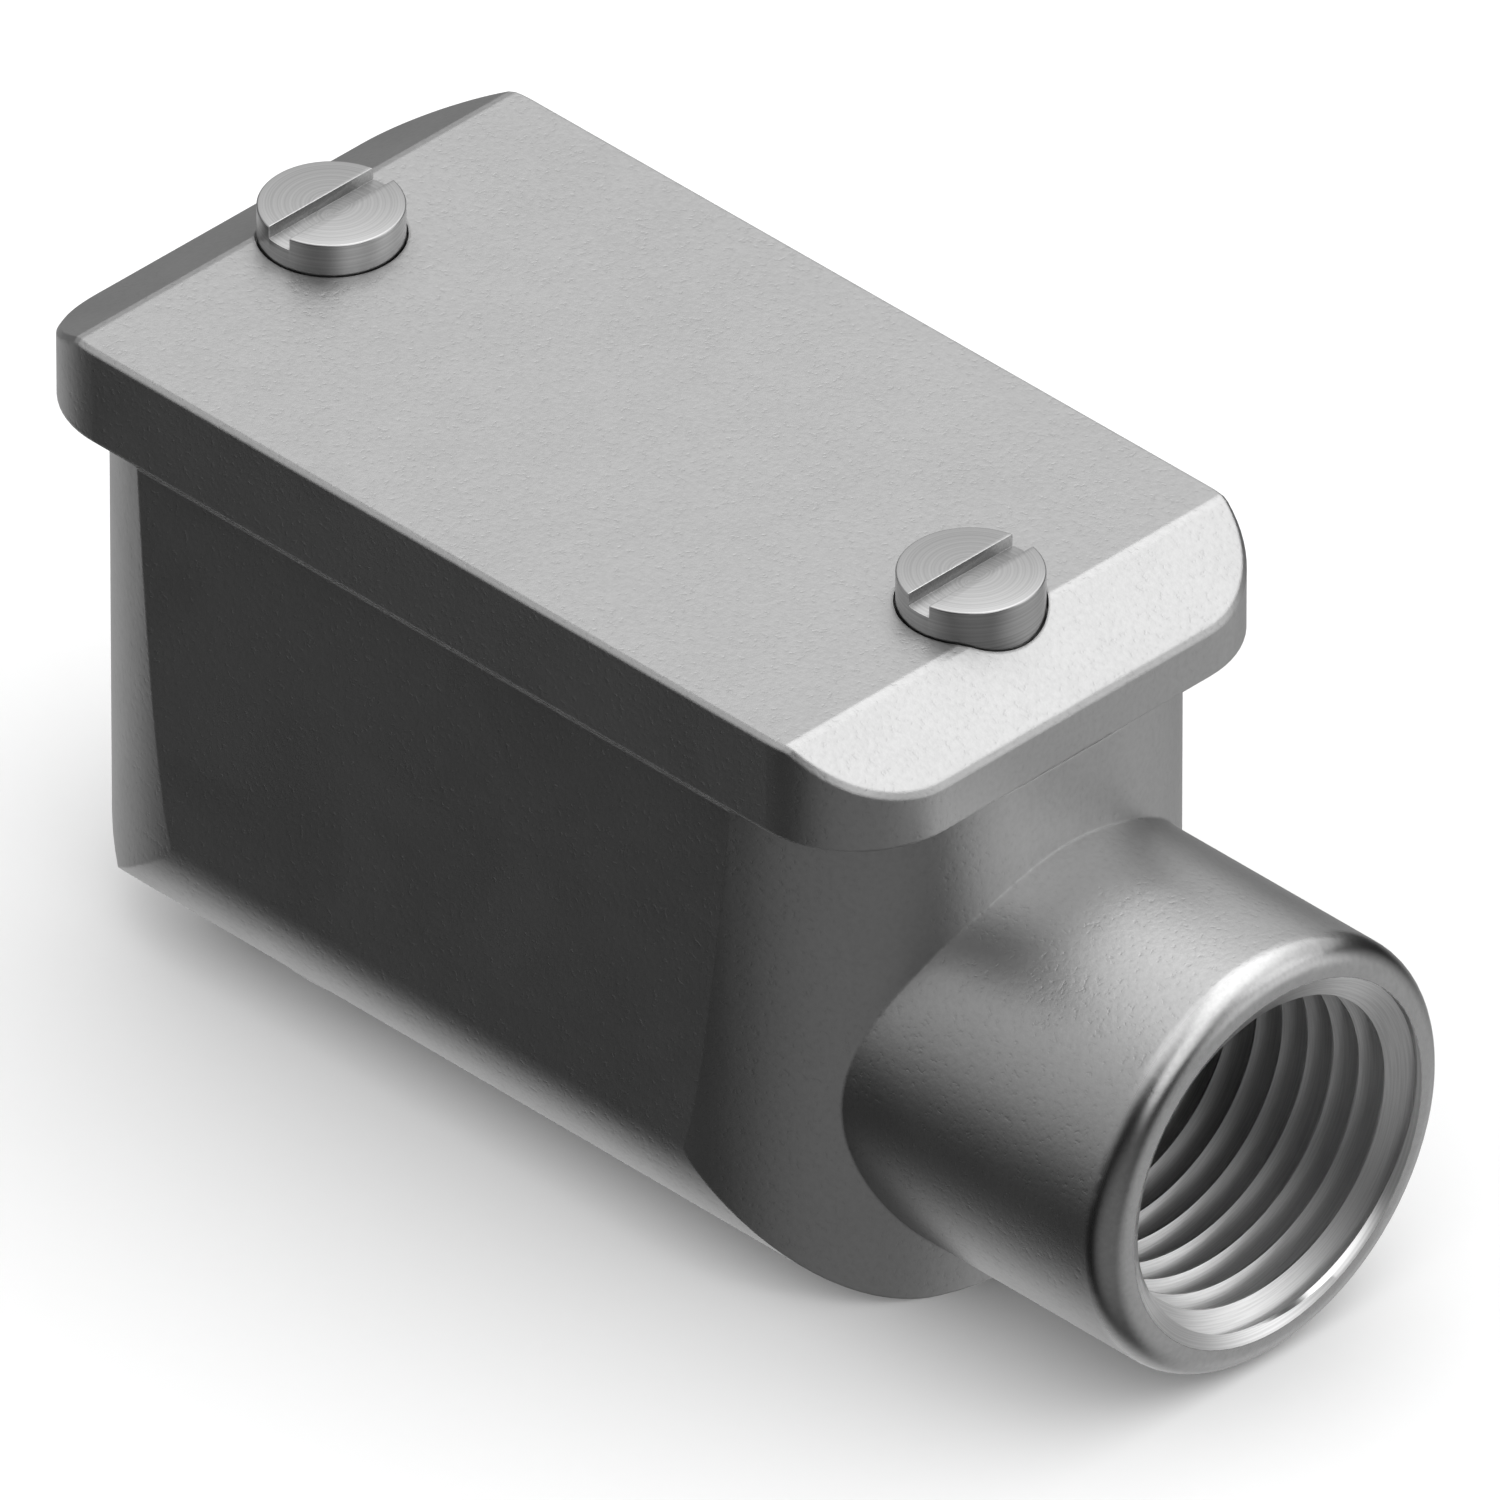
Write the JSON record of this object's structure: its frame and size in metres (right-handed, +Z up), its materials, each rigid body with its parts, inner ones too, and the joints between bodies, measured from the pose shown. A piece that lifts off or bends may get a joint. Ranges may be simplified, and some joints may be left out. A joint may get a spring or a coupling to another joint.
{
  "type": "service entrance elbow",
  "caption": "Cast right-angle conduit elbow: a hollow box body with a threaded hub at the front and one in its flat bottom, under a screwed, gasketed cover.",
  "frame": {"origin": "centre of the back hub's mouth, on the flat bottom of the body", "axes": "+X along the front hub's bore, out of its mouth; -Z out of the back hub's mouth, so +Z points up through the cover; +Y across the body"},
  "size_m": [0.0778, 0.0328, 0.0392],
  "materials": {
    "cast_body": "malleable iron casting, zinc plated, satin grey with a fine cast grain",
    "cast_cover": "malleable iron casting, zinc plated, satin grey with a fine cast grain",
    "gasket_rubber": "black neoprene sheet, die cut",
    "zinc_screw": "steel, bright zinc plated"
  },
  "bodies": {
    "housing": {"body": "cast_body", "gasket": "gasket_rubber"},
    "cover": {"cover": "cast_cover"},
    "front_screw": {"front_cover_screw": "zinc_screw"},
    "rear_screw": {"rear_cover_screw": "zinc_screw"}
  },
  "joints": [
    {"name": "cover_lift", "type": "slide", "parent": "housing", "child": "cover", "axis": [0, 0, 1], "range_m": [0, 0.00714]},
    {"name": "front_screw_turn", "type": "hinge", "parent": "cover", "child": "front_screw", "pos_m": [0.03705, 0, 0.03631], "axis": [0, 0, 1], "range_deg": [0, 3240]},
    {"name": "rear_screw_turn", "type": "hinge", "parent": "cover", "child": "rear_screw", "pos_m": [-0.01025, 0, 0.03631], "axis": [0, 0, 1], "range_deg": [0, 3240]}
  ],
  "couplings": [
    {"joint": "front_screw_turn", "follows": "cover_lift", "rad_per_m": 7915.8},
    {"joint": "rear_screw_turn", "follows": "cover_lift", "rad_per_m": 7915.8}
  ]
}
